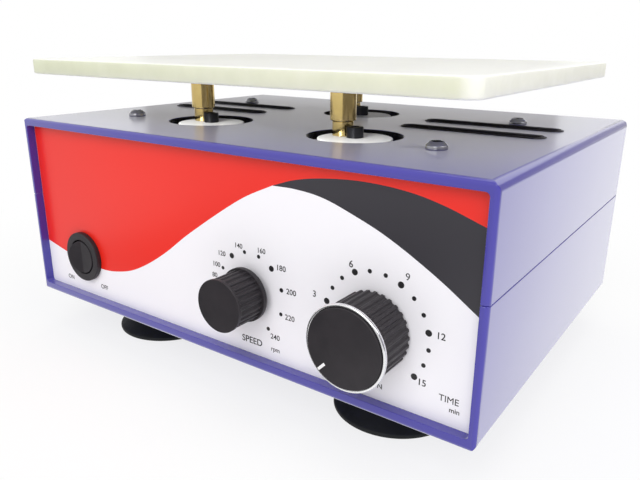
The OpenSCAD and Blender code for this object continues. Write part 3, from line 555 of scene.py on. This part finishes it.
def print_fields():
    """The front panel's red field, with the dark sweep between it and the white field."""
    wave, crest, fall = panel_curve(WAVE), panel_curve(CREST), panel_curve(FALL)

    def red_foot(x):
        return wave(x) if x <= SWEEP_START else crest(x)

    hole_left, hole_right = SWITCH_AXIS[0] - SWITCH_HOLE, SWITCH_AXIS[0] + SWITCH_HOLE
    red = [
        (red_foot, window_top, -WINDOW_SIDE, hole_left),
        (over_switch, window_top, hole_left, hole_right),
        (red_foot, window_top, hole_right, WINDOW_SIDE),
    ]
    field("panel_red_field", red, "red_film")
    field("panel_dark_sweep", [(fall, crest, SWEEP_START + SWEEP_POINT, WINDOW_SIDE)], "dark_film")


# Middle and radius of each dial's ring of dots, as x, z and radius.
SPEED_SCALE = (22.5, 51.3, 16.2)
TIMER_SCALE = (79.2, 51.4, 20.8)
# Angle and radius of the speed dial's dots.
SPEED_DOTS = (
    (185, 0.75),
    (155, 0.75),
    (126, 1.15),
    (99.5, 0.8),
    (73.7, 0.8),
    (48, 1.2),
    (15.6, 0.9),
    (-20.7, 0.8),
    (-57.6, 0.85),
)
# The timer dial has a dot for each minute, and each third dot is larger.
TIMER_START = 216.5
TIMER_SWEEP = 256.0
TIMER_MINUTES = 15
TIMER_DOT = 0.82
TIMER_DOT_LARGE = 1.2
DOT_SIDES = 20


def add_dot(shape, scale, angle, radius):
    """Adds a thin printed dot to a dial's ring of dots."""
    turn = math.radians(angle)
    x = scale[0] + scale[2] * math.cos(turn)
    z = scale[1] + scale[2] * math.sin(turn)
    faces = (PANEL_FACE - FILM, PANEL_FACE)
    close_rings(shape, [circle(shape, x, y, z, radius, DOT_SIDES) for y in faces])


def print_dots():
    """Scale dots round the speed dial and the timer dial."""
    shape = bmesh.new()
    for angle, radius in SPEED_DOTS:
        add_dot(shape, SPEED_SCALE, angle, radius)
    for minute in range(TIMER_MINUTES + 1):
        angle = TIMER_START - minute * TIMER_SWEEP / TIMER_MINUTES
        add_dot(shape, TIMER_SCALE, angle, TIMER_DOT if minute % 3 else TIMER_DOT_LARGE)
    face_outwards(shape)
    piece("panel_dots", shape, "print_ink", "base")


# Text, x and z of its middle, and height of its capitals.
FRONT_WORDS = (
    ("80", 3.0, 54.0, 2.0),
    ("100", 4.2, 58.9, 2.0),
    ("120", 7.4, 64.2, 2.0),
    ("140", 16.7, 69.2, 2.0),
    ("160", 28.4, 69.4, 2.0),
    ("180", 38.0, 64.4, 2.2),
    ("200", 42.8, 55.8, 2.2),
    ("220", 42.0, 45.0, 2.2),
    ("240", 34.6, 34.8, 2.2),
    ("SPEED", 22.5, 29.9, 2.8),
    ("rpm", 34.6, 29.4, 1.9),
    ("3", 53.6, 58.0, 2.4),
    ("6", 69.1, 72.9, 2.5),
    ("9", 91.0, 73.1, 2.5),
    ("12", 103.9, 55.6, 2.4),
    ("15", 98.2, 36.8, 2.4),
    ("ON", 81.0, 29.8, 2.0),
    ("TIME", 108.2, 33.8, 2.4),
    ("min", 110.4, 30.4, 1.8),
    ("ON", -100.8, 29.5, 2.2),
    ("OFF", -73.5, 30.0, 2.2),
)
REAR_WORDS = (("FUSE", -26.0, 41.0, 2.6), ("MAINS", -66.0, 38.0, 2.6))
# Height of the font's capitals, as a share of its size.
CAPITALS = 0.7
# Growth of the letters' outlines, as a share of their height, and the words that stay as they are
# because their narrow counters would close.
BOLDER = 0.014
PLAIN_WORDS = ("9", "TIME", "MAINS")


def lettering(name, words, face, turn):
    """Flat printed words on an upright plane, turned about Z to face the reader."""
    upright = Matrix.Rotation(math.radians(turn), 4, "Z") @ Matrix.Rotation(math.pi / 2, 4, "X")
    shape = bmesh.new()
    for text, x, z, height in words:
        curve = bpy.data.curves.new("word", "FONT")
        curve.body = text
        curve.size = height / CAPITALS
        curve.align_x = "CENTER"
        curve.align_y = "CENTER"
        curve.offset = 0.0 if text in PLAIN_WORDS else BOLDER * height
        curve.extrude = FILM / 2
        holder = bpy.data.objects.new("word", curve)
        bpy.context.scene.collection.objects.link(holder)
        bpy.context.view_layer.update()
        solid = holder.evaluated_get(bpy.context.evaluated_depsgraph_get())
        mesh = bpy.data.meshes.new_from_object(solid)
        place = Matrix.Translation((x * MM, face * MM, z * MM))
        mesh.transform(place @ Matrix.Scale(MM, 4) @ upright)
        shape.from_mesh(mesh)
        bpy.data.objects.remove(holder)
        bpy.data.curves.remove(curve)
        bpy.data.meshes.remove(mesh)
    piece(name, shape, "print_ink", "base")


def print_words():
    """Plain numbers and generic captions on the front and rear panels."""
    lettering("panel_lettering", FRONT_WORDS, PANEL_FACE - FILM / 2, 0)
    lettering("rear_lettering", REAR_WORDS, REAR_FACE + FILM / 2, 180)


# The rear plate: x and z of its middle, its size, its corners' radius and steps, and the inset
# and rise of each layer of corners from the panel outwards.
PLATE_MIDDLE = (52.0, 61.0)
PLATE_WIDTH = 62.0
PLATE_HEIGHT = 34.0
PLATE_CORNER = 2.0
PLATE_CORNER_STEPS = 4
PLATE_LAYERS = ((0.0, 0.0), (0.0, 0.3), (0.2, 0.5))
# The rivets' distance from the plate's sides, and the radius and rise of each ring of their heads.
RIVET_INSET = 4.0
RIVET_PROFILE = ((1.5, -0.2), (1.5, 0.1), (1.2, 0.5), (0.6, 0.75))
RIVET_SIDES = 16


def plate_outline():
    """The rear plate's rounded outline about its middle, as x and z."""
    half_width, half_height = PLATE_WIDTH / 2 - PLATE_CORNER, PLATE_HEIGHT / 2 - PLATE_CORNER
    outline = []
    for corner, (side, rise) in enumerate(((1, 1), (-1, 1), (-1, -1), (1, -1))):
        for step in range(PLATE_CORNER_STEPS + 1):
            turn = math.radians(90.0 * (corner + step / PLATE_CORNER_STEPS))
            x = side * half_width + PLATE_CORNER * math.cos(turn)
            z = rise * half_height + PLATE_CORNER * math.sin(turn)
            outline.append((x, z))
    return outline


def rating_plate():
    """A bare metal plate with four rivets on the rear panel."""
    shape = bmesh.new()
    middle_x, middle_z = PLATE_MIDDLE
    layers = []
    for inset, rise in PLATE_LAYERS:
        pull_x, pull_z = 1 - 2 * inset / PLATE_WIDTH, 1 - 2 * inset / PLATE_HEIGHT
        layer = []
        for x, z in plate_outline():
            corner = (middle_x + x * pull_x, REAR_FACE + rise, middle_z + z * pull_z)
            layer.append(shape.verts.new(Vector(corner) * MM))
        layers.append(layer)
    close_rings(shape, layers)
    face = REAR_FACE + PLATE_LAYERS[-1][1]
    for side in (-1, 1):
        x = middle_x + side * (PLATE_WIDTH / 2 - RIVET_INSET)
        for end in (-1, 1):
            z = middle_z + end * (PLATE_HEIGHT / 2 - RIVET_INSET)
            head = []
            for radius, rise in RIVET_PROFILE:
                head.append(circle(shape, x, face + rise, z, radius, RIVET_SIDES))
            close_rings(shape, head)
    face_outwards(shape)
    piece("rear_rating_plate", shape, "plate_metal", "base")


# The timer's pointer line: its angle, where it starts and ends from the axis, and its width.
POINTER_ANGLE = 226.0
POINTER_START = 10.2
POINTER_END = 13.9
POINTER_WIDTH = 1.0


def timer_pointer():
    """The white line on the timer knob's face, pointing outwards from its axis."""
    shape = bmesh.new()
    turn = math.radians(POINTER_ANGLE)
    along = Vector((math.cos(turn), 0, math.sin(turn)))
    across = Vector((-math.sin(turn), 0, math.cos(turn))) * POINTER_WIDTH / 2
    rings = []
    for y in (TIMER_FACE - FILM, TIMER_FACE):
        axis = Vector((TIMER_AXIS[0], y, TIMER_AXIS[1]))
        start, end = axis + along * POINTER_START, axis + along * POINTER_END
        corners = (start - across, end - across, end + across, start + across)
        rings.append([shape.verts.new(corner * MM) for corner in corners])
    close_rings(shape, rings)
    face_outwards(shape)
    piece("timer_pointer", shape, "pointer_ink", "timer_dial")


# The camera fitted to the photo: its place in millimetres, its directions, and its focal length
# in pixels of an image of the given width.
CAMERA_PLACE = (177.49, -250.80, 146.41)
CAMERA_FORWARD = (-0.55165, 0.77619, -0.30531)
CAMERA_RIGHT = (0.81396, 0.58089, 0.00612)
CAMERA_FOCAL = 625.25
IMAGE_WIDTH = 640
SENSOR_WIDTH = 36.0
CLIP_START = 0.01
CLIP_END = 60.0


def add_camera():
    data = bpy.data.cameras.new("photo_camera")
    data.sensor_fit = "HORIZONTAL"
    data.sensor_width = SENSOR_WIDTH
    data.lens = SENSOR_WIDTH * CAMERA_FOCAL / IMAGE_WIDTH
    data.clip_start = CLIP_START
    data.clip_end = CLIP_END
    camera = bpy.data.objects.new("photo_camera", data)
    bpy.context.scene.collection.objects.link(camera)
    forward = Vector(CAMERA_FORWARD).normalized()
    right = Vector(CAMERA_RIGHT)
    right = (right - forward * right.dot(forward)).normalized()
    turn = Matrix((right, right.cross(forward), -forward)).transposed().to_4x4()
    camera.matrix_world = Matrix.Translation(Vector(CAMERA_PLACE) * MM) @ turn
    bpy.context.scene.camera = camera


def seen_in_gloss(tree, path, camera):
    """The share given for camera rays, and 1 for rays from a gloss or through glass."""
    total = camera
    for name in ("Is Glossy Ray", "Is Transmission Ray"):
        node = add_node(tree, "ShaderNodeMath", operation="MAXIMUM")
        tree.links.new(total, node.inputs[0])
        tree.links.new(path.outputs[name], node.inputs[1])
        total = node.outputs[0]
    return total


def mix_shaders(tree, factor, first, second, surface):
    node = add_node(tree, "ShaderNodeMixShader")
    tree.links.new(factor, node.inputs["Fac"])
    tree.links.new(first.outputs[0], node.inputs[1])
    tree.links.new(second.outputs[0], node.inputs[2])
    tree.links.new(node.outputs[0], surface)


# Strength of the world's light on the object. The world itself is seen as white.
WORLD_LEVEL = 0.5


def add_world():
    world = bpy.data.worlds.new("studio")
    bpy.context.scene.world = world
    world.use_nodes = True
    tree = world.node_tree
    tree.nodes.clear()
    output = add_node(tree, "ShaderNodeOutputWorld")
    backgrounds = []
    for strength in (WORLD_LEVEL, 1.0):
        background = add_node(tree, "ShaderNodeBackground")
        background.inputs["Color"].default_value = (1.0, 1.0, 1.0, 1.0)
        background.inputs["Strength"].default_value = strength
        backgrounds.append(background)
    path = add_node(tree, "ShaderNodeLightPath")
    seen = seen_in_gloss(tree, path, path.outputs["Is Camera Ray"])
    mix_shaders(tree, seen, *backgrounds, output.inputs["Surface"])


# The floor's rings and the distances over which it turns white, in metres. It starts as partly white.
FLOOR_RINGS = (0.3, 0.6, 1.2, 3.0, 12.0)
FLOOR_SIDES = 64
FLOOR_COLOUR = (0.93, 0.93, 0.93, 1.0)
FLOOR_FADE = (0.12, 0.36)
FLOOR_WHITE = 0.78


def floor_material():
    material, surface = blank_material("floor")
    tree = material.node_tree
    paper = add_node(tree, "ShaderNodeBsdfDiffuse")
    paper.inputs["Color"].default_value = FLOOR_COLOUR
    white = add_node(tree, "ShaderNodeEmission")
    white.inputs["Strength"].default_value = 1.0
    place = add_node(tree, "ShaderNodeTexCoord")
    reach = add_node(tree, "ShaderNodeVectorMath", operation="LENGTH")
    tree.links.new(place.outputs["Object"], reach.inputs[0])
    fade = add_node(tree, "ShaderNodeMapRange", interpolation_type="SMOOTHSTEP")
    fade.inputs["From Min"].default_value = FLOOR_FADE[0]
    fade.inputs["From Max"].default_value = FLOOR_FADE[1]
    fade.inputs["To Min"].default_value = FLOOR_WHITE
    tree.links.new(reach.outputs["Value"], fade.inputs["Value"])
    path = add_node(tree, "ShaderNodeLightPath")
    camera = add_node(tree, "ShaderNodeMath", operation="MULTIPLY")
    tree.links.new(fade.outputs["Result"], camera.inputs[0])
    tree.links.new(path.outputs["Is Camera Ray"], camera.inputs[1])
    mix_shaders(tree, seen_in_gloss(tree, path, camera.outputs[0]), paper, white, surface)
    return material


def add_floor():
    """A pale floor that turns to plain white away from the object's shadow."""
    shape = bmesh.new()
    turns = [2 * math.pi * i / FLOOR_SIDES for i in range(FLOOR_SIDES)]
    rings = [
        [shape.verts.new((radius * math.cos(turn), radius * math.sin(turn), 0)) for turn in turns]
        for radius in FLOOR_RINGS
    ]
    shape.faces.new(rings[0])
    join_rings(shape, rings)
    floor = new_object("floor", shape)
    floor.data.materials.append(floor_material())


# Place and aim in metres, size in metres and power in watts.
LAMPS = {
    "front_softbox": ((0.35, -1.25, 1.1), (0, -0.05, 0.06), 1.3, 13.2),
    "right_softbox": ((1.2, -0.1, 0.6), (0, 0, 0.06), 0.9, 5.6),
    "top_softbox": ((0.0, 0.1, 1.6), (0, 0, 0.1), 1.2, 4.6),
}
GAP_LAMP = ((0.15, -1.0, 0.5), (0, -0.03, 0.108), 0.5, 26.0)


def add_lamp(name, place, aim, size, power):
    data = bpy.data.lights.new(name, "AREA")
    data.shape = "DISK"
    data.size = size
    data.energy = power
    lamp = bpy.data.objects.new(name, data)
    bpy.context.scene.collection.objects.link(lamp)
    lamp.location = place
    lamp.rotation_euler = (Vector(aim) - Vector(place)).to_track_quat("-Z", "Y").to_euler()
    return lamp


def add_lamps():
    """Three softboxes, and a fourth for the crank discs alone, which lie in the platform's shade."""
    for name, row in LAMPS.items():
        add_lamp(name, *row)
    lamp = add_lamp("gap_softbox", *GAP_LAMP)
    discs = bpy.data.collections.new("gap_discs")
    for crank in CRANKS:
        discs.objects.link(nodes[f"crank_disc_{crank}"])
    lamp.light_linking.receiver_collection = discs


# Middle, width and height as vectors in metres, and colour.
CARDS = {
    "rear_card": ((-0.7, 1.11, 0.42), (0.88, 0.58, 0), (0, 0, 0.37), (0.25, 0.23, 0.21)),
    "right_card": ((0.73, -0.05, 0.2), (0.56, 1.6, 0), (0, 0, 0.5), (0.27, 0.26, 0.28)),
    "rear_right_card": ((0.62, 1.02, 0.2), (-0.8, 0.55, 0), (0, 0, 0.5), (0.16, 0.14, 0.13)),
    "floor_card": ((-0.08, -0.24, 0.004), (0.24, 0, 0), (0, 0.22, 0), (0.1, 0.1, 0.1)),
}


def add_card(name, centre, width, height, colour):
    """A grey card on the set, seen only in reflections."""
    shape = bmesh.new()
    middle, side, rise = Vector(centre), Vector(width) / 2, Vector(height) / 2
    corners = (middle - side - rise, middle + side - rise, middle + side + rise, middle - side + rise)
    shape.faces.new([shape.verts.new(corner) for corner in corners])
    card = new_object(name, shape)
    card.visible_camera = False
    card.visible_diffuse = False
    card.visible_shadow = False
    material, surface = blank_material(name)
    glow = add_node(material.node_tree, "ShaderNodeEmission")
    glow.inputs["Color"].default_value = (*colour, 1.0)
    material.node_tree.links.new(glow.outputs[0], surface)
    card.data.materials.append(material)


def main():
    add_camera()
    add_world()
    add_floor()
    add_lamps()
    for name, row in CARDS.items():
        add_card(name, *row)
    dress_frame()
    print_fields()
    print_dots()
    print_words()
    rating_plate()
    timer_pointer()
    bpy.context.scene.view_settings.view_transform = "Standard"


main()
